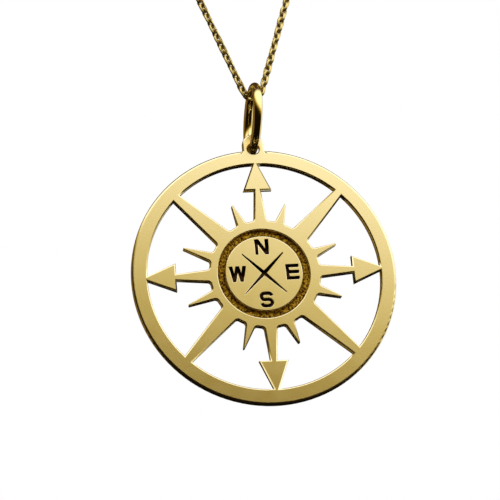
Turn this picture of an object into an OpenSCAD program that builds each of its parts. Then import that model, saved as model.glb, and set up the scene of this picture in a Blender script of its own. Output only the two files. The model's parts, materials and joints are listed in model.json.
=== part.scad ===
// Compass pendant: a pierced compass disc that a jump ring carries on a fine cable chain.
// Lengths are in millimetres. The disc's front faces -Y, and +Z is up.
// The origin is the point that the closed loop hangs from, the middle of the clasp's underside.

/* [Compass disc] */
// Outer diameter of the compass ring
disc_d = 25.2; // [20:0.1:32]
// Thickness of the plate
plate_t = 0.7; // [0.65:0.05:1.2]
// Radial width of the outer ring
ring_w = 1.52; // [1:0.02:2]
// Rounding of the ring's outer edge
rim_round = 0.3; // [0.05:0.01:0.32]
// Diameter of the hub
hub_d = 10.6; // [9.8:0.1:12]

/* [Arrows, rays and spikes] */
// Length of an arrow head, from its barbs to the ring
head_l = 2.68; // [1.6:0.02:3.4]
// Width of an arrow head across its barbs
head_w = 2.76; // [1.6:0.02:3.6]
// Width of an arrow head where it meets the ring
head_tip_w = 0.5; // [0.3:0.05:0.9]
// Width of an arrow's shaft at its head
shaft_head_w = 0.6; // [0.4:0.05:1]
// Width of an arrow's shaft at the hub
shaft_hub_w = 1.3; // [1:0.05:1.6]
// Width of a diagonal ray at the ring
ray_ring_w = 0.85; // [0.5:0.05:1.4]
// Width of a diagonal ray at the hub
ray_hub_w = 1.85; // [1.4:0.05:2.4]
// Mean length of the short spikes beyond the hub
spike_l = 2.3; // [1.4:0.1:2.8]
// Width of a short spike at the hub
spike_w = 1.06; // [0.7:0.02:1.3]
// Width of a short spike at its blunt tip
spike_tip_w = 0.14; // [0.06:0.02:0.3]
// Angle between a short spike and the arrow next to it
spike_turn = 20.4; // [18.8:0.2:22.4]
// Radius of the corner where a form leaves the hub
corner_round = 0.34; // [0.1:0.02:0.36]

/* [Hub engraving] */
// How far the groove, letters and cross sit left of the disc's centre
engraving_left = 0.14; // [0:0.02:0.3]
// Inner diameter of the sunk groove
groove_in_d = 7.4; // [7:0.1:8]
// Radial width of the sunk groove
groove_w = 0.66; // [0.4:0.02:0.9]
// Depth of the sunk groove
groove_depth = 0.3; // [0.15:0.05:0.4]
// Depth of the letters and of the cross
letter_depth = 0.2; // [0.1:0.05:0.3]
// Distance from the hub's centre to the middle of each letter
letter_r = 2.6; // [2.4:0.05:2.75]
// How far the E and the W sit right of that place
letter_right = 0.1; // [-0.1:0.02:0.12]
// Height of the letters
letter_h = 1.5; // [1.2:0.05:1.65]
// Width of the strokes of the letters
letter_stroke = 0.29; // [0.2:0.01:0.34]
// Length of each arm of the engraved cross
cross_l = 2.75; // [2:0.05:3]
// Width of the cross at its centre
cross_w = 0.32; // [0.2:0.02:0.44]
// Width of the cross at its tips
cross_tip_w = 0.06; // [0.04:0.01:0.12]

/* [Hanging tab] */
// Width of the round-topped tab on the ring
tab_d = 2.1; // [2:0.02:3]
// Height of the centre of its round top above the ring's outer edge
tab_rise = 0.62; // [0.5:0.02:1]
// Radius of the corner where the tab leaves the ring
tab_corner = 0.45; // [0.2:0.05:0.6]
// Diameter of the hole in the tab
hole_d = 1.16; // [1.1:0.02:1.5]
// Height of the hole's centre above the ring's outer edge
hole_rise = 0.2; // [0.1:0.02:0.5]

/* [Jump ring] */
// Outer diameter of the jump ring
jump_d = 7.24; // [6:0.02:9]
// Diameter of the jump ring's wire
jump_wire = 0.92; // [0.7:0.02:0.94]
// Angle that the jump ring leans to one side
jump_lean = 4.8; // [0:0.2:8]
// Angle that the jump ring is turned about the vertical
jump_turn = 1.5; // [-4:0.5:4]
// Running gap between the wire and the top of the tab's hole
hole_gap = 0.06; // [0.04:0.01:0.1]

/* [Chain] */
// Length of the whole loop, with the clasp
chain_len = 450; // [380:10:600]
// Width of the hanging chain, seen from the front
chain_w = 0.74; // [0.5:0.02:1]
// Angle between each strand and the vertical
strand_angle = 19; // [14:0.5:24]
// Running gap between the chain and the jump ring's wire
bend_gap = 0.08; // [0.08:0.02:0.3]

/* [Clasp] */
// Length of the clasp's barrel
clasp_l = 7; // [5:0.5:10]
// Diameter of the clasp's barrel
clasp_d = 2.4; // [2:0.1:3.4]
// Inner diameter of the eye at each end of the barrel
eye_in_d = 0.9; // [0.8:0.05:1.2]
// Diameter of the wire of each eye
eye_wire = 0.36; // [0.3:0.02:0.5]
// Gap between an eye and the end of the chain's tube
eye_gap = 0.1; // [0.05:0.05:0.3]

/* [Hidden] */
$fn = 96;

// How far neighbouring forms of one solid reach into each other
fuse = 0.3;
// How far a cutting form stands proud of the face that it cuts
proud = 0.5;

// Length of each hand-cut spike as a share of the mean, clockwise from the one right of the north arrow
spike_shares = [0.86, 0.96, 0.96, 0.88, 1.02, 1.14, 1.2, 0.9];

// Flats along the round of each corner at the hub and at the tab
corner_steps = 4;
// How far that round reaches into the circle and into the side that it meets
corner_sink = 0.01;

// Disc
disc_r = disc_d / 2;
// Radius of the flat face, inside the ring's rounded edge
face_r = disc_r - rim_round;
ring_in_r = disc_r - ring_w;
hub_r = hub_d / 2;
head_r = ring_in_r - head_l;
hole_z = disc_r + hole_rise;
tab_z = disc_r + tab_rise;

// Letter widths and the radius of the two bends of the S, all taken from the letters' height
n_w = 0.86 * letter_h;
e_w = 0.8 * letter_h;
w_w = 1.06 * letter_h;
s_w = 0.84 * letter_h;
s_bend_r = (letter_h - letter_stroke) / 4;
// Level width of the slanting stroke of the N, as a share of the stroke's width
n_slant = 1.2;
// The lower corners of the W, as a share of its half width
w_foot = 0.54;
// Angle above the level of its bend's centre at which each open end of the S stops
s_end_turn = 12;

// Clasp
clasp_z = clasp_d / 2;
dome_r = clasp_l / 2;
eye_r = (eye_in_d + eye_wire) / 2;
eye_x = clasp_l / 2 + eye_in_d / 2;

// Loop of chain: a large arc at the neck, two straight strands, and a small arc through the jump ring
chain_r = chain_w / 2;
jump_r = (jump_d - jump_wire) / 2;
bend_r = jump_wire / 2 + chain_r + bend_gap;
tangent_turn = 90 + strand_angle;
radian = PI / 180;
strand_drop = (chain_len - 2 * PI * bend_r)
    / (2 * cos(strand_angle) + sin(strand_angle) * 2 * tangent_turn * radian);
neck_r = bend_r + strand_drop * sin(strand_angle);
neck_z = clasp_z - sqrt(neck_r * neck_r - eye_x * eye_x);
bend_z = neck_z - strand_drop;
clasp_turn = asin((eye_x + eye_r + eye_wire / 2 + eye_gap) / neck_r);

// Rings of the chain's tube along each stretch of one half, and its number of sides
neck_steps = 24;
strand_steps = 5;
bend_steps = 6;
tube_sides = 8;

// Jump ring and disc, hung below the chain's bend
jump_x = -jump_r * sin(jump_lean);
jump_z = bend_z - jump_r * cos(jump_lean);
pin_x = 2 * jump_x;
pin_z = bend_z - 2 * jump_r * cos(jump_lean);
disc_z = pin_z + jump_wire / 2 + hole_gap - hole_d / 2 - hole_z;

// A station on the chain's path: its x and z, and the turn of its outward side from straight up
function station(centre_z, radius, turn) =
    [radius * sin(turn), centre_z + radius * cos(turn), turn];

function between(a, b, share) = a + (b - a) * share;

strand_top = station(neck_z, neck_r, tangent_turn);
strand_foot = station(bend_z, bend_r, tangent_turn);

// Right half of the path, from the clasp down to the middle of the bend
half_route = concat(
    [for (i = [0 : neck_steps])
        station(neck_z, neck_r, between(clasp_turn, tangent_turn, i / neck_steps))],
    [for (i = [1 : strand_steps - 1])
        between(strand_top, strand_foot, i / strand_steps)],
    [for (i = [0 : bend_steps])
        station(bend_z, bend_r, between(tangent_turn, 180, i / bend_steps))]
);
half_count = len(half_route);

function mirrored(s) = [-s[0], s[1], 360 - s[2]];

// Whole path: the right half, then its mirror image from the bend back up to the clasp
chain_route = concat(
    half_route,
    [for (i = [half_count - 2 : -1 : 0]) mirrored(half_route[i])]
);

function tube_point(s, around) = [
    s[0] + chain_r * cos(around) * sin(s[2]),
    chain_r * sin(around),
    s[1] + chain_r * cos(around) * cos(s[2])
];

// Index of a tube point from its ring and its side
function tube_index(ring, side) = ring * tube_sides + side % tube_sides;

// A straight form that narrows from one radius to another, pointing up
module tapered(r0, w0, r1, w1) {
    polygon([[-w0 / 2, r0], [w0 / 2, r0], [w1 / 2, r1], [-w1 / 2, r1]]);
}

// Fills the corner between a round base and a straight side, on the right of that side.
// What stays open is a round that runs into both.
module foot_corner(base_r, round_r, from, to) {
    along = (to - from) / norm(to - from);
    outward = [along[1], -along[0]];
    from_axis = outward * from + round_r - corner_sink;
    from_base = base_r + round_r - corner_sink;
    centre = outward * from_axis + along * sqrt(from_base * from_base - from_axis * from_axis);
    first = atan2(-outward[1], -outward[0]);
    last = atan2(-centre[1], -centre[0]);
    polygon(concat(
        [[0, base_r - fuse]],
        [for (i = [0 : corner_steps])
            let (turn = between(first, last + (last < first ? 360 : 0), i / corner_steps))
                centre + round_r * [cos(turn), sin(turn)]]
    ));
}

// A tapered form that leaves the hub, with both its corners there rounded
module spoke(hub_w, end_r, end_w) {
    tapered(hub_r - fuse, hub_w, end_r, end_w);
    for (side = [0, 1])
        mirror([side, 0])
            foot_corner(hub_r, corner_round, [hub_w / 2, hub_r - fuse], [end_w / 2, end_r]);
}

module arrow() {
    spoke(shaft_hub_w, head_r + fuse, shaft_head_w);
    tapered(head_r, head_w, ring_in_r, head_tip_w);
    tapered(ring_in_r - fuse / 2, head_tip_w, ring_in_r + fuse, head_tip_w);
}

module diagonal_ray() {
    spoke(ray_hub_w, ring_in_r + fuse, ray_ring_w);
}

module spike(share) {
    spoke(spike_w, hub_r + share * spike_l, spike_tip_w);
}

module ring_outline() {
    difference() {
        circle(r = disc_r);
        circle(r = ring_in_r);
    }
}

module tab_outline() {
    foot_z = ring_in_r + fuse;
    translate([0, tab_z]) circle(d = tab_d);
    translate([-tab_d / 2, foot_z]) square([tab_d, tab_z - foot_z]);
    for (side = [0, 1])
        mirror([side, 0]) foot_corner(face_r, tab_corner, [tab_d / 2, foot_z], [tab_d / 2, tab_z]);
}

// The pierced outline of the disc without its tab, seen from the front
module disc_outline() {
    ring_outline();
    circle(r = hub_r);
    for (quarter = [0 : 3])
        rotate(-90 * quarter) {
            arrow();
            rotate(45) diagonal_ray();
            rotate(-spike_turn) spike(spike_shares[2 * quarter]);
            rotate(spike_turn - 90) spike(spike_shares[2 * quarter + 1]);
        }
}

// A full round blank with a rounded edge, which gives the ring its outer edge
module rounded_blank() {
    rotate_extrude() {
        translate([0, -plate_t / 2]) square([face_r, plate_t]);
        translate([0, rim_round - plate_t / 2]) square([disc_r, plate_t - 2 * rim_round]);
        for (side = [-1, 1])
            translate([face_r, side * (plate_t / 2 - rim_round)]) circle(r = rim_round);
    }
}

// The flat plate before it is engraved, its middle plane at zero
module plate() {
    difference() {
        union() {
            intersection() {
                rounded_blank();
                translate([0, 0, -plate_t / 2]) linear_extrude(plate_t) disc_outline();
            }
            translate([0, 0, -plate_t / 2]) linear_extrude(plate_t) tab_outline();
        }
        translate([0, hole_z, 0]) cylinder(d = hole_d, h = plate_t + 2 * proud, center = true);
    }
}

module letter_n() {
    leg = n_w / 2 - letter_stroke / 2;
    slant_w = n_slant * letter_stroke;
    for (side = [-1, 1])
        translate([side * leg - letter_stroke / 2, -letter_h / 2]) square([letter_stroke, letter_h]);
    polygon([
        [-n_w / 2, letter_h / 2], [-n_w / 2 + slant_w, letter_h / 2],
        [n_w / 2, -letter_h / 2], [n_w / 2 - slant_w, -letter_h / 2]
    ]);
}

module letter_e() {
    translate([-e_w / 2, -letter_h / 2]) square([letter_stroke, letter_h]);
    for (level = [-1, 0, 1])
        translate([-e_w / 2, level * (letter_h - letter_stroke) / 2 - letter_stroke / 2])
            square([e_w, letter_stroke]);
}

// One slanting stroke of the W, cut level at both ends
module slant(top_x, foot_x) {
    polygon([
        [top_x - letter_stroke / 2, letter_h / 2], [top_x + letter_stroke / 2, letter_h / 2],
        [foot_x + letter_stroke / 2, -letter_h / 2], [foot_x - letter_stroke / 2, -letter_h / 2]
    ]);
}

module letter_w() {
    top = w_w / 2 - letter_stroke / 2;
    for (side = [-1, 1]) {
        slant(side * top, side * top * w_foot);
        slant(0, side * top * w_foot);
    }
}

// A bend of the S: a round band around the origin, kept on its left and past both ends
module s_bend(end_turn) {
    outer_r = s_bend_r + letter_stroke / 2;
    reach = 2 * outer_r;
    intersection() {
        difference() {
            circle(r = outer_r);
            circle(r = s_bend_r - letter_stroke / 2);
        }
        union() {
            translate([-reach, -reach]) square([reach, 2 * reach]);
            polygon([[0, 0], [0, reach], [reach, reach],
                [reach, reach * tan(end_turn)]]);
        }
    }
}

// The upper bend opens to the right. Turned half round, the same form is the lower one.
module letter_s() {
    bend_x = s_w / 2 - s_bend_r - letter_stroke / 2;
    for (turn = [0, 180])
        rotate(turn) {
            translate([-bend_x, s_bend_r]) intersection() {
                s_bend(s_end_turn);
                translate([-2 * s_bend_r, -2 * s_bend_r]) square([2 * s_bend_r, 4 * s_bend_r]);
            }
            translate([bend_x, s_bend_r]) intersection() {
                s_bend(s_end_turn);
                square(2 * s_bend_r);
            }
            translate([-bend_x, 2 * s_bend_r - letter_stroke / 2])
                square([2 * bend_x, letter_stroke]);
        }
    translate([-bend_x, -letter_stroke / 2]) square([2 * bend_x, letter_stroke]);
}

module cross_mark() {
    for (turn = [45 : 90 : 315]) rotate(turn) tapered(0, cross_w, cross_l, cross_tip_w);
}

module engraving_outline() {
    translate([0, letter_r]) letter_n();
    translate([letter_r + letter_right, 0]) letter_e();
    translate([0, -letter_r]) letter_s();
    translate([letter_right - letter_r, 0]) letter_w();
    cross_mark();
}

// A cut from the disc's front face down to the given depth
module front_cut(depth) {
    translate([0, 0, plate_t / 2 - depth]) linear_extrude(depth + proud) children();
}

module compass_disc() {
    color([0.86, 0.74, 0.46])
    translate([pin_x, 0, disc_z]) rotate([90, 0, 0])
    difference() {
        plate();
        translate([-engraving_left, 0, 0]) {
            front_cut(groove_depth) difference() {
                circle(d = groove_in_d + 2 * groove_w);
                circle(d = groove_in_d);
            }
            front_cut(letter_depth) engraving_outline();
        }
    }
}

module jump_ring() {
    color([0.80, 0.66, 0.34])
    translate([jump_x, 0, jump_z]) rotate([0, 0, jump_turn]) rotate([0, 90 + jump_lean, 0])
    rotate_extrude() translate([jump_r, 0]) circle(d = jump_wire);
}

module chain() {
    rings = len(chain_route);
    points = [for (s = chain_route) for (side = [0 : tube_sides - 1])
        tube_point(s, 360 * side / tube_sides)];
    walls = [for (ring = [0 : rings - 2]) for (side = [0 : tube_sides - 1]) each [
        [tube_index(ring, side), tube_index(ring + 1, side + 1), tube_index(ring + 1, side)],
        [tube_index(ring, side), tube_index(ring, side + 1), tube_index(ring + 1, side + 1)]
    ]];
    first_end = [for (side = [tube_sides - 1 : -1 : 0]) tube_index(0, side)];
    last_end = [for (side = [0 : tube_sides - 1]) tube_index(rings - 1, side)];
    color([0.78, 0.64, 0.32])
    polyhedron(points = points, faces = concat(walls, [first_end, last_end]));
}

module clasp() {
    color([0.78, 0.64, 0.32])
    translate([0, 0, clasp_z]) {
        rotate([0, 90, 0]) intersection() {
            cylinder(d = clasp_d, h = clasp_l, center = true);
            sphere(r = dome_r);
        }
        for (side = [-1, 1])
            translate([side * eye_x, 0, 0]) rotate([90, 0, 0])
                rotate_extrude() translate([eye_r, 0]) circle(d = eye_wire);
    }
}

compass_disc();
jump_ring();
chain();
clasp();
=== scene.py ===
"""A pierced compass pendant, hung by a jump ring from a closed loop of fine cable chain."""

import json
import math

import bmesh
import bpy
import numpy as np
from mathutils import Matrix, Vector


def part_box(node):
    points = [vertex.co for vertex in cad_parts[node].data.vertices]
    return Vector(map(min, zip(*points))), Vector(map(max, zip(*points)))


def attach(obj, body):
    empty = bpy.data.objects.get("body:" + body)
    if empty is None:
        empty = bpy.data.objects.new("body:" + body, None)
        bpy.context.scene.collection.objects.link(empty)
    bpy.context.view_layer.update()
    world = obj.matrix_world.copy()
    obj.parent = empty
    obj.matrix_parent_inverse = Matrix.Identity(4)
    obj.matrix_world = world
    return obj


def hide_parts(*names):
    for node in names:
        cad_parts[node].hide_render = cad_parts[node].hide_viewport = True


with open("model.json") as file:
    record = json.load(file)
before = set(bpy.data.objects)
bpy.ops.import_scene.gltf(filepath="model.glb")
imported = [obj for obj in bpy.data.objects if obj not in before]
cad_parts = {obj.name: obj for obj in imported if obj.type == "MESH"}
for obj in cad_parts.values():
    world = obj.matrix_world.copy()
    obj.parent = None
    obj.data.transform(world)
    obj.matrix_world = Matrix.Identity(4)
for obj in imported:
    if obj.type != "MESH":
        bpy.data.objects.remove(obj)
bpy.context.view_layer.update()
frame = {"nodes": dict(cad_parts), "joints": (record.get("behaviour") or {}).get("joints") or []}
scene = bpy.context.scene

MM = 0.001
UP = Vector((0, 0, 1))
FRONT = Vector((0, -1, 0))
BACK = Vector((0, 1, 0))

# The disc, from its solid
disc_low, disc_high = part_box("compass_disc")
disc_r = (disc_high.x - disc_low.x) / 2
hub = Vector(((disc_low.x + disc_high.x) / 2, 0, disc_low.z + disc_r))
plate_t = disc_high.y - disc_low.y

# The engraving, and how near the groove a point counts as one of its edges
engraving_left = 0.14 * MM
groove_in_r = 3.7 * MM
groove_out_r = 4.36 * MM
groove_margin = 0.1 * MM

# How far the plate's edges are rolled over. Past about 0.16 mm they would cross at the arrows' tips
edge_round = 0.155 * MM
groove_round = 0.1 * MM
letter_round = 0.05 * MM
roll_steps = 3

# How near points lie to be one, to be on one flat face, and to be shaded as part of it
weld_gap = 1e-4 * MM
flat_gap = 2e-4 * MM
shading_gap = 0.003 * MM

# The jump ring
ring_wire_r = 0.46 * MM
ring_low, ring_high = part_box("jump_ring")
ring_r = (ring_high.y - ring_low.y) / 2 - ring_wire_r
ring_turn = math.radians(1.5)

# The loop that the chain follows, and the running gap between it and the jump ring's wire
chain_len = 450 * MM
chain_w = 0.74 * MM
bend_gap = 0.08 * MM
bend_r = ring_wire_r + chain_w / 2 + bend_gap
strand_turn = math.radians(19)

# The chain's links, which hang half turned, so that they look as wide as the chain
link_w = 0.88 * MM
link_wire_r = 0.14 * MM
link_pitch = 0.63 * MM
link_play = 0.005 * MM

# How the chain winds: each wave's turn in degrees, its millimetres a radian and its start
winding = ((22, 9.0, 2.6), (12, 23.0, 0))

# How each link turns besides: to one side or the other, and a small sway, both in degrees
link_turn = 45
link_sway = 5
link_sway_step = 2.4

# The ring of round wire at each end of the chain
end_ring_wire_r = 0.11 * MM
end_ring_r = 0.5 * MM

# The clasp, a barrel that is closed by a sunk seam at its middle
barrel_r = 1.2 * MM
barrel_l = 7 * MM
barrel_edge = 0.1 * MM
barrel_seam = 0.08 * MM
dome_steps = 8
eye_wire_r = 0.18 * MM
eye_r = 0.63 * MM

# The floor, in metres
floor_level = -0.3
floor_r = 3


def joint_place(name):
    """The point that a joint turns about."""
    return Vector(next(j["pos_m"] for j in frame["joints"] if j["name"] == name))


class Sock:
    """A shader socket that adds Math nodes where it is used in an expression."""

    def __init__(self, tree, socket):
        self.tree = tree
        self.socket = socket

    def math(self, operation, *others):
        values = dict(enumerate((self, *others)))
        return self.tree.node("ShaderNodeMath", {"operation": operation}, values)

    def __add__(self, other):
        return self.math("ADD", other)

    def __radd__(self, other):
        return self.math("ADD", other)

    def __sub__(self, other):
        return self.math("SUBTRACT", other)

    def __rsub__(self, other):
        return (self * -1).math("ADD", other)

    def __mul__(self, other):
        return self.math("MULTIPLY", other)

    def __rmul__(self, other):
        return self.math("MULTIPLY", other)

    def __pow__(self, other):
        return self.math("POWER", other)

    def __gt__(self, other):
        return self.math("GREATER_THAN", other)

    def __lt__(self, other):
        return self.math("LESS_THAN", other)

    def ramp(self, low, high):
        """0 at low and 1 at high, eased between them."""
        values = {"Value": self, "From Min": low, "From Max": high}
        return self.tree.node("ShaderNodeMapRange", {"interpolation_type": "SMOOTHSTEP"}, values)


class Tree:
    """The shader nodes of a material or of the world."""

    def __init__(self, owner):
        owner.use_nodes = True
        self.nodes = owner.node_tree.nodes
        self.links = owner.node_tree.links
        self.nodes.clear()

    def node(self, kind, settings=None, sockets=None, out=0):
        """Adds a node with its settings, then its sockets' values or links, and gives one output."""
        node = self.nodes.new(kind)
        for name, value in (settings or {}).items():
            if name == "stops":
                self.set_stops(node.color_ramp.elements, value)
            else:
                setattr(node, name, value)
        for name, value in (sockets or {}).items():
            if isinstance(value, Sock):
                self.links.new(value.socket, node.inputs[name])
            else:
                node.inputs[name].default_value = value
        return Sock(self, node.outputs[out]) if node.outputs else None

    def set_stops(self, elements, stops):
        """Sets a colour ramp's stops. A new ramp has two already."""
        for position, colour in stops[2:]:
            elements.new(position)
        for element, (position, colour) in zip(elements, stops):
            element.position = position
            element.color = (*colour, 1)

    def place(self, centre=Vector()):
        """Object coordinates in millimetres from a point."""
        here = self.node("ShaderNodeTexCoord", out="Object")
        sockets = {"Vector": here, "Location": centre * (-1 / MM), "Scale": [1 / MM] * 3}
        return self.node("ShaderNodeMapping", {"vector_type": "POINT"}, sockets)

    def noise(self, place, scale, detail=2, roughness=0.5):
        """Noise at a place. A larger scale makes it finer."""
        sockets = {"Vector": place, "Scale": scale, "Detail": detail, "Roughness": roughness}
        return self.node("ShaderNodeTexNoise", None, sockets)

    def bump(self, height, distance):
        """The surface's direction, as if a height of 1 stood out by the distance."""
        sockets = {"Height": height, "Distance": distance, "Strength": 1.0}
        return self.node("ShaderNodeBump", None, sockets)

    def mix(self, mask, a, b):
        """Colour a where mask is 0 and colour b where it is 1."""
        pair = [v if isinstance(v, Sock) else (*v, 1) for v in (a, b)]
        sockets = {0: mask, 6: pair[0], 7: pair[1]}
        return self.node("ShaderNodeMix", {"data_type": "RGBA"}, sockets, out=2)

    def tint(self, colour, strength):
        """A colour made lighter or darker by a factor."""
        sockets = {0: colour, "Scale": strength}
        return self.node("ShaderNodeVectorMath", {"operation": "SCALE"}, sockets)

    def axes(self, vector):
        """The three parts of a vector."""
        split = self.node("ShaderNodeSeparateXYZ", None, {"Vector": vector}).socket.node
        return [Sock(self, out) for out in split.outputs]


def make_material(name, paint):
    """A material whose Principled sockets are set by a function that gets its nodes."""
    material = bpy.data.materials.new(name)
    tree = Tree(material)
    surface = tree.node("ShaderNodeBsdfPrincipled", None, paint(tree))
    tree.node("ShaderNodeOutputMaterial", None, {"Surface": surface})
    return material


def satin_gold(tree):
    """Satin-polished plate with a rough sunk groove and darkened letters."""
    plate_gold = (0.95, 0.82, 0.46)
    engraving_dark = (0.03, 0.014, 0.006)
    groove_dark = (0.06, 0.02, 0.002)
    groove_gold = (0.66, 0.38, 0.03)

    # Where each finish starts and ends, in millimetres. The plate's back lies deeper than both
    depth_end = 0.32
    groove_depth_start = 0.11
    letter_depth_start = 0.06
    groove_r_start = 3.6
    groove_r_end = 4.5

    place = tree.place(hub)
    x, y, z = tree.axes(place)
    across = x + engraving_left / MM
    from_centre = (across * across + z * z) ** 0.5
    below_face = y + plate_t / 2 / MM

    sunk = below_face < depth_end
    below_edge = sunk * (below_face > groove_depth_start)
    in_groove = below_edge * (from_centre > groove_r_start) * (from_centre < groove_r_end)
    in_letters = sunk * (below_face > letter_depth_start) * (from_centre < groove_r_start)

    clouds = tree.noise(place, 0.6, detail=3)
    grain = tree.noise(place, 9, detail=3)
    speckle = tree.noise(place, 5.5, detail=3, roughness=0.6)

    gold = tree.tint(plate_gold, 0.93 + 0.09 * clouds + 0.05 * grain)
    groove_floor = tree.mix(speckle.ramp(0.38, 0.62), groove_dark, groove_gold)
    colour = tree.mix(in_groove, gold, groove_floor)
    satin = 0.18 + 0.06 * clouds + 0.03 * grain
    return {
        "Base Color": tree.mix(in_letters, colour, engraving_dark),
        "Metallic": 1.0,
        "Roughness": satin + in_groove * 0.2 + in_letters * 0.2,
        "Normal": tree.bump(grain * 0.015 + in_groove * speckle, 0.12 * MM),
    }


def polished_gold(tree):
    """Bright polish with faint wear."""
    polish = (0.92, 0.74, 0.32)
    place = tree.place()
    wear = tree.noise(place, 1.5, detail=4)
    fine = tree.noise(place, 14)
    return {
        "Base Color": tree.tint(polish, 0.92 + 0.1 * wear),
        "Metallic": 1.0,
        "Roughness": 0.10 + 0.08 * wear,
        "Normal": tree.bump(fine, 0.003 * MM),
    }


def link_gold(tree):
    """Softly polished wire, a little lighter and darker along the chain."""
    wire_gold = (0.82, 0.66, 0.24)
    wear = tree.noise(tree.place(), 1.1)
    return {
        "Base Color": tree.tint(wire_gold, 0.86 + 0.2 * wear),
        "Metallic": 1.0,
        "Roughness": 0.32 + 0.1 * wear,
    }


def pale_floor(tree):
    """Plain pale paint with faint clouds."""
    pale = (0.88, 0.87, 0.84)
    clouds = tree.noise(tree.place(), 0.01, detail=3)
    return {
        "Base Color": tree.tint(pale, 0.97 + 0.05 * clouds),
        "Roughness": 0.7,
    }


def add_object(name, mesh, material):
    """A finished mesh as an object at the origin, smooth but for its sharp edges."""
    sharp_turn = math.radians(50)
    mesh.shade_smooth()
    mesh.set_sharp_from_angle(angle=sharp_turn)
    mesh.materials.append(material)
    piece = bpy.data.objects.new(name, mesh)
    scene.collection.objects.link(piece)
    return piece


def to_mesh(name, bm):
    """Ends a bmesh and gives its mesh."""
    mesh = bpy.data.meshes.new(name)
    bm.to_mesh(mesh)
    bm.free()
    return mesh


def add_piece(name, bm, material):
    """Ends a bmesh and gives an object of its mesh."""
    return add_object(name, to_mesh(name, bm), material)


def dress(piece, node, body):
    """The piece stands for a node, on the node's body, and the node's own mesh is hidden."""
    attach(piece, body)
    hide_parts(node)


def merged_copy(node):
    """A node's mesh with its loose triangles joined up."""
    bm = bmesh.new()
    bm.from_mesh(frame["nodes"][node].data)
    bmesh.ops.remove_doubles(bm, verts=bm.verts, dist=weld_gap)
    bmesh.ops.dissolve_degenerate(bm, edges=bm.edges, dist=weld_gap)
    return bm


def flat_faces(bm, facing):
    """The faces that lie furthest out along a direction, square to it."""
    square = 0.999
    level = max(v.co.dot(facing) for v in bm.verts)
    return [
        f for f in bm.faces
        if f.normal.dot(facing) > square
        and all(v.co.dot(facing) > level - flat_gap for v in f.verts)
    ]


def inset_columns(bm, flat, hair):
    """Insets flat faces a few times by a hair.

    Gives the rim's edges, and for each rim vertex a column of itself and those that lie inside it.
    """
    rings = []
    for _ in range(roll_steps):
        inset = bmesh.ops.inset_region(
            bm, faces=flat, thickness=hair, use_boundary=True, use_even_offset=True
        )
        rings.append(inset["faces"])
    layers = [{v for f in faces for v in f.verts} for faces in (*rings, flat)]
    rim = layers[0] - layers[1]
    rim_edges = [e for e in {e for f in rings[0] for e in f.edges} if set(e.verts) <= rim]
    columns = {v: [v] for v in rim}
    for faces, kept in zip(rings, layers[1:]):
        inner = {}
        for e in {e for f in faces for e in f.edges}:
            a, b = e.verts
            if (a in kept) != (b in kept):
                inner[b if a in kept else a] = a if a in kept else b
        for column in columns.values():
            column.append(inner[column[-1]])
    return rim_edges, columns


def roll_edges(bm, facing, round_at):
    """Rounds a flat face over into its walls.

    round_at(point) gives the radius, which is less where two corners of the rim close up.
    """
    hair = 0.002 * MM
    closing_share = 0.9
    sharp_turn = math.radians(40)

    rim_edges, columns = inset_columns(bm, flat_faces(bm, facing), hair)
    inward = {v: (column[1].co - v.co) / hair for v, column in columns.items()}
    reach = {v: round_at(v.co) for v in columns}
    sharp = dict.fromkeys(columns, True)
    for e in rim_edges:
        a, b = e.verts
        along = (b.co - a.co).normalized()
        closing = (inward[a] - inward[b]).dot(along)
        most = closing_share * (b.co - a.co).length / closing if closing > 0 else math.inf
        for v in e.verts:
            reach[v] = min(reach[v], most)
            sharp[v] = sharp[v] and e.calc_face_angle(0) > sharp_turn

    for rim, column in columns.items():
        start = rim.co.copy()
        drop = reach[rim] if sharp[rim] else 0
        for i, v in enumerate(column):
            turn = math.radians(90) * i / roll_steps
            across = inward[rim] * reach[rim] * (1 - math.cos(turn))
            v.co = start + across - facing * drop * (1 - math.sin(turn))


def keep_flat(mesh, facings):
    """Gives the corners of each outermost flat face the face's own normal."""
    normals = [(0, 0, 0)] * len(mesh.vertices)
    for facing in facings:
        level = max(v.co.dot(facing) for v in mesh.vertices)
        for v in mesh.vertices:
            if v.co.dot(facing) > level - shading_gap:
                normals[v.index] = facing
    mesh.normals_split_custom_set_from_vertices(normals)


def make_disc(material):
    """The pierced and engraved plate with its edges rolled over."""
    bm = merged_copy("compass_disc")
    engraving = hub - Vector((engraving_left, 0, 0))

    def front_round(point):
        from_centre = math.hypot(point.x - engraving.x, point.z - engraving.z)
        if from_centre > groove_out_r + groove_margin:
            return edge_round
        return groove_round if from_centre > groove_in_r - groove_margin else letter_round

    def back_round(point):
        return edge_round

    roll_edges(bm, FRONT, front_round)
    roll_edges(bm, BACK, back_round)
    disc = add_piece("disc_plate", bm, material)
    keep_flat(disc.data, (FRONT, BACK))
    dress(disc, "compass_disc", "disc")


def round_ring(bm, radius, wire_r, around, sides):
    """Adds a ring of round wire in the XZ plane, about the origin, and gives its vertices."""
    start = Matrix.Translation((radius, 0, 0))
    circle = bmesh.ops.create_circle(bm, segments=sides, radius=wire_r, matrix=start)["verts"]
    edges = list({e for v in circle for e in v.link_edges})
    bmesh.ops.spin(
        bm, geom=circle + edges, cent=(0, 0, 0), axis=(0, 1, 0), dvec=(0, 0, 0),
        angle=math.tau, space=Matrix.Identity(4), steps=around, use_merge=True,
        use_normal_flip=False, use_duplicate=False,
    )
    found = set(circle)
    waiting = list(circle)
    while waiting:
        v = waiting.pop()
        for e in v.link_edges:
            other = e.other_vert(v)
            if other not in found:
                found.add(other)
                waiting.append(other)
    bmesh.ops.recalc_face_normals(bm, faces=list({f for v in found for f in v.link_faces}))
    return list(found)


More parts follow.
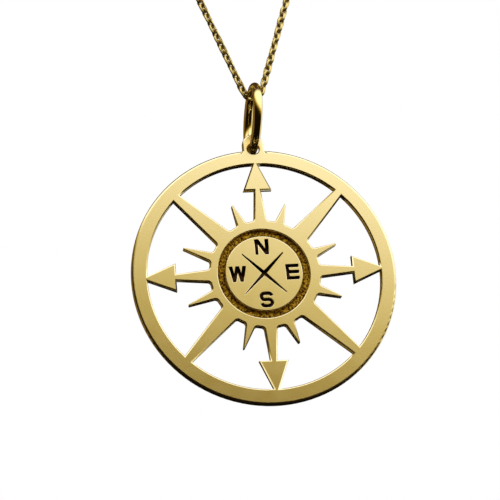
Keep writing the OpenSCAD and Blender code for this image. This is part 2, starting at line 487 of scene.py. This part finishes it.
def make_jump_ring(material):
    """The thick jump ring, through the chain's bend and the disc's tab."""
    bm = bmesh.new()
    round_ring(bm, ring_r, ring_wire_r, around=160, sides=40)
    top = joint_place("bail_swing") + UP * bend_r
    middle = (ring_low + ring_high) / 2
    lean = math.atan2(top.x - middle.x, top.z - middle.z)
    turned = Matrix.Rotation(lean, 4, "Y") @ Matrix.Rotation(math.radians(90), 4, "Z")
    place = Matrix.Translation(middle) @ Matrix.Rotation(ring_turn, 4, "Z") @ turned
    bmesh.ops.transform(bm, matrix=place, verts=bm.verts)
    ring = add_piece("bail_ring", bm, material)
    dress(ring, "jump_ring", "bail")


def on_circle(centre, radius, turn):
    """The point of an upright circle at a turn from its top, towards +X."""
    return centre + radius * Vector((math.sin(turn), 0, math.cos(turn)))


class Loop:
    """The chain's path: a bend through the jump ring, two straight strands and an arc at the neck."""

    def __init__(self, bend_centre, bend_r, length, strand_turn):
        self.bend = bend_centre
        self.bend_r = bend_r
        self.turn = math.radians(90) + strand_turn
        drop = (length - math.tau * bend_r) / (
            2 * math.cos(strand_turn) + math.sin(strand_turn) * 2 * self.turn
        )
        self.neck_r = bend_r + drop * math.sin(strand_turn)
        self.neck = bend_centre + UP * drop
        self.bend_l = bend_r * (math.pi - self.turn)
        self.strand_l = drop * math.cos(strand_turn)

    def point(self, run):
        """The point at a distance along the path from the bend's lowest point.

        A distance above zero runs to the right, and one below zero to the left.
        """
        side = math.copysign(1, run)
        run = abs(run)
        strand_run = run - self.bend_l
        neck_run = strand_run - self.strand_l
        if strand_run < 0:
            point = on_circle(self.bend, self.bend_r, math.pi - run / self.bend_r)
        elif neck_run < 0:
            foot = on_circle(self.bend, self.bend_r, self.turn)
            top = on_circle(self.neck, self.neck_r, self.turn)
            point = foot.lerp(top, strand_run / self.strand_l)
        else:
            point = on_circle(self.neck, self.neck_r, self.turn - neck_run / self.neck_r)
        return Vector((side * point.x, point.y, point.z))

    def run_to(self, x):
        """The distance along the path to the point of the neck's arc at x, above the arc's middle."""
        turn = math.asin(x / self.neck_r)
        return self.bend_l + self.strand_l + (self.turn - turn) * self.neck_r

    def place_at(self, run, half_l, twist):
        """The place of a link whose ends lie on the path, turned about it."""
        near, far = self.point(run - half_l), self.point(run + half_l)
        along = (far - near).normalized()
        turn = Matrix((along, BACK, along.cross(BACK))).transposed().to_4x4()
        return Matrix.Translation((near + far) / 2) @ turn @ Matrix.Rotation(twist, 4, "X")


def long_link(half_l, half_w, wire_r, around, sides):
    """A link of round wire: two half rings drawn apart along X, in the XZ plane."""
    bm = bmesh.new()
    round_ring(bm, half_w, wire_r, around, sides)
    bmesh.ops.rotate(bm, verts=bm.verts, matrix=Matrix.Rotation(math.pi / around, 3, "Y"))
    for side in (-1, 1):
        half = [v for v in bm.verts if v.co.x * side > 0]
        bmesh.ops.translate(bm, verts=half, vec=((half_l - half_w) * side, 0, 0))
    return to_mesh("link", bm)


def joined_copies(name, sets, material):
    """One mesh of many copies: each set is a shape and the places of its copies."""
    points, faces = [], []
    for shape, places in sets:
        corners = np.array([(*v.co, 1) for v in shape.vertices])
        quads = np.array([p.vertices[:] for p in shape.polygons])
        for place in places:
            faces.extend((quads + len(points)).tolist())
            points.extend((corners @ np.array(place).T)[:, :3].tolist())
    mesh = bpy.data.meshes.new(name)
    mesh.from_pydata(points, [], faces)
    return add_object(name, mesh, material)


def link_twist(run, k):
    """The turn of a link about the path. Its neighbours lie square to it, and the chain winds slowly."""
    wind = sum(turn * math.sin(run / MM / reach + start) for turn, reach, start in winding)
    sway = link_sway * math.sin(k * link_sway_step)
    return math.radians((link_turn if k % 2 else -link_turn) + (wind + sway))


def make_chain(material):
    """Interlocked round links all the way round, with a larger ring at each end."""
    loop = Loop(joint_place("bail_swing") + UP * bend_r, bend_r, chain_len, strand_turn)

    # The end ring's wire lies inside the clasp's eye, and the last link's inside the end ring
    clasp_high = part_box("clasp")[1]
    eye_wire_x = clasp_high.x - eye_wire_r
    end_wire_x = eye_wire_x - eye_wire_r - end_ring_wire_r - link_play
    end_run = loop.run_to(end_wire_x) - end_ring_r
    links_run = end_run - end_ring_r + end_ring_wire_r + link_wire_r + link_play

    # The middle link lies at the bend's lowest point, with as many links on its left as its right
    count = round((links_run - link_pitch / 2) / link_pitch)
    pitch = (links_run - link_wire_r) / (count + 0.5)
    half_l = pitch / 2 + link_wire_r - link_play
    half_w = link_w / 2 - link_wire_r

    link = long_link(half_l, half_w, link_wire_r, around=14, sides=6)
    links = [
        loop.place_at(k * pitch, half_l, link_twist(k * pitch, k))
        for k in range(-count, count + 1)
    ]
    end_ring = long_link(end_ring_r, end_ring_r, end_ring_wire_r, around=16, sides=6)
    ends = [
        loop.place_at(side * end_run, end_ring_r, math.radians(90)) for side in (-1, 1)
    ]
    chain = joined_copies("cable_chain", [(link, links), (end_ring, ends)], material)
    dress(chain, "chain", "chain_loop")


def barrel_outline():
    """The barrel's outline above its axis, over one dome, the sunk seam and the other dome."""
    dome_r = barrel_l / 2
    shoulder = math.asin(barrel_r / dome_r)
    turns = [shoulder * i / dome_steps for i in range(dome_steps + 1)]
    outline = [Vector((dome_r * math.cos(turn), 0, dome_r * math.sin(turn))) for turn in turns]
    outline.append(Vector((barrel_seam, 0, barrel_r)))
    other_side = [Vector((-p.x, 0, p.z)) for p in reversed(outline)]
    return [*outline, Vector((0, 0, barrel_r - barrel_seam)), *other_side]


def make_clasp(material):
    """A plain domed barrel with an eye at each end."""
    clasp_low, clasp_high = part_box("clasp")
    bm = bmesh.new()
    line = [bm.verts.new(p) for p in barrel_outline()]
    edges = [bm.edges.new(pair) for pair in zip(line, line[1:])]
    bmesh.ops.spin(
        bm, geom=line + edges, cent=(0, 0, 0), axis=(1, 0, 0), dvec=(0, 0, 0),
        angle=math.tau, space=Matrix.Identity(4), steps=64, use_merge=True,
        use_normal_flip=False, use_duplicate=False,
    )
    bmesh.ops.remove_doubles(bm, verts=bm.verts, dist=weld_gap)
    bmesh.ops.recalc_face_normals(bm, faces=bm.faces)
    shoulder_turn = math.radians(30)
    shoulders = [
        e for e in bm.edges
        if e.calc_face_angle(0) > shoulder_turn
        and abs(e.verts[0].co.x) > 2 * barrel_seam
    ]
    bmesh.ops.bevel(
        bm, geom=shoulders, offset=barrel_edge, segments=3, profile=0.5, affect="EDGES", material=-1
    )
    for side in (-1, 1):
        eye = round_ring(bm, eye_r, eye_wire_r, around=48, sides=16)
        out = clasp_high.x - eye_r - eye_wire_r
        bmesh.ops.translate(bm, verts=eye, vec=(side * out, 0, 0))
    bmesh.ops.translate(bm, verts=bm.verts, vec=(clasp_low + clasp_high) / 2)
    clasp = add_piece("barrel_clasp", bm, material)
    dress(clasp, "clasp", "chain_loop")


def make_floor(material):
    """A plain floor below the hanging pendant."""
    bm = bmesh.new()
    level = Matrix.Translation((0, 0, floor_level))
    bmesh.ops.create_circle(bm, cap_ends=True, segments=96, radius=floor_r, matrix=level)
    floor = add_piece("floor", bm, material)
    floor.visible_glossy = False


def make_camera():
    """The photograph's view: from below and to the left, through a long lens."""
    azimuth = math.radians(9.1)
    elevation = math.radians(18.72)
    roll = math.radians(-5.4)
    aim = hub + Vector((-1.28, -0.35, 2.34)) * MM
    distance = 115 * MM
    nearest = 10 * MM
    focal_mm = 87.8
    sensor_mm = 36

    look = Vector((
        math.sin(azimuth) * math.cos(elevation),
        math.cos(azimuth) * math.cos(elevation),
        math.sin(elevation),
    ))
    right = look.cross(UP).normalized()
    turn = Matrix((right, right.cross(look), -look)).transposed().to_4x4()
    place = Matrix.Translation(aim - look * distance)

    lens = bpy.data.cameras.new("camera")
    lens.sensor_width = sensor_mm
    lens.lens = focal_mm
    lens.clip_start = nearest
    camera = bpy.data.objects.new("camera", lens)
    scene.collection.objects.link(camera)
    camera.matrix_world = place @ turn @ Matrix.Rotation(roll, 4, "Z")
    scene.camera = camera


def light_studio():
    """A soft room that is dark and warm below and bright above, and white to the camera.

    It turns bright sooner at the right and in front. It is dim overhead and behind at the left,
    and pale behind at the right.
    """
    room_stops = [
        (0.0, (0.006, 0.004, 0.002)),
        (0.50, (0.010, 0.006, 0.002)),
        (0.55, (0.03, 0.018, 0.001)),
        (0.60, (0.19, 0.11, 0.002)),
        (0.65, (0.70, 0.56, 0.07)),
        (0.70, (1.30, 1.28, 1.26)),
        (0.80, (1.46, 1.46, 1.58)),
    ]
    dim_top = (0.07, 0.04, 0.01)
    dim_left = (0.20, 0.13, 0.04)
    pale_right = (0.95, 0.93, 0.88)
    white = (1, 1, 1, 1)

    world = bpy.data.worlds.new("studio")
    scene.world = world
    tree = Tree(world)
    way = tree.node("ShaderNodeTexCoord", out="Generated")
    right, behind, up = tree.axes(way)
    height = up + 0.32 * right - 0.12 * behind - 0.16
    above_floor = up.ramp(-0.5, -0.2)
    overhead = (up + 0.6 * behind).ramp(0.75, 0.95)
    behind_left = above_floor * (0.6 * behind - right).ramp(0.75, 1.0)
    behind_right = above_floor * (0.6 * behind + right).ramp(0.95, 1.1)

    room = tree.node("ShaderNodeValToRGB", {"stops": room_stops}, {"Fac": 0.5 + 0.5 * height})
    room = tree.mix(overhead, room, dim_top)
    room = tree.mix(behind_left, room, dim_left)
    room = tree.mix(behind_right, room, pale_right)
    around = tree.node("ShaderNodeBackground", None, {"Color": room, "Strength": 1.0})
    backdrop = tree.node("ShaderNodeBackground", None, {"Color": white, "Strength": 1.0})
    seen = tree.node("ShaderNodeLightPath", out="Is Camera Ray")
    sky = tree.node("ShaderNodeMixShader", None, {0: seen, 1: around, 2: backdrop})
    tree.node("ShaderNodeOutputWorld", None, {"Surface": sky})


make_camera()
make_disc(make_material("satin_gold", satin_gold))
make_jump_ring(make_material("polished_gold", polished_gold))
make_chain(make_material("link_gold", link_gold))

# The frame holds a plain material of this name, and the clasp has that one, not the jump ring's
make_clasp(bpy.data.materials["polished_gold"])
make_floor(make_material("pale_floor", pale_floor))
light_studio()
scene.view_settings.view_transform = "Standard"
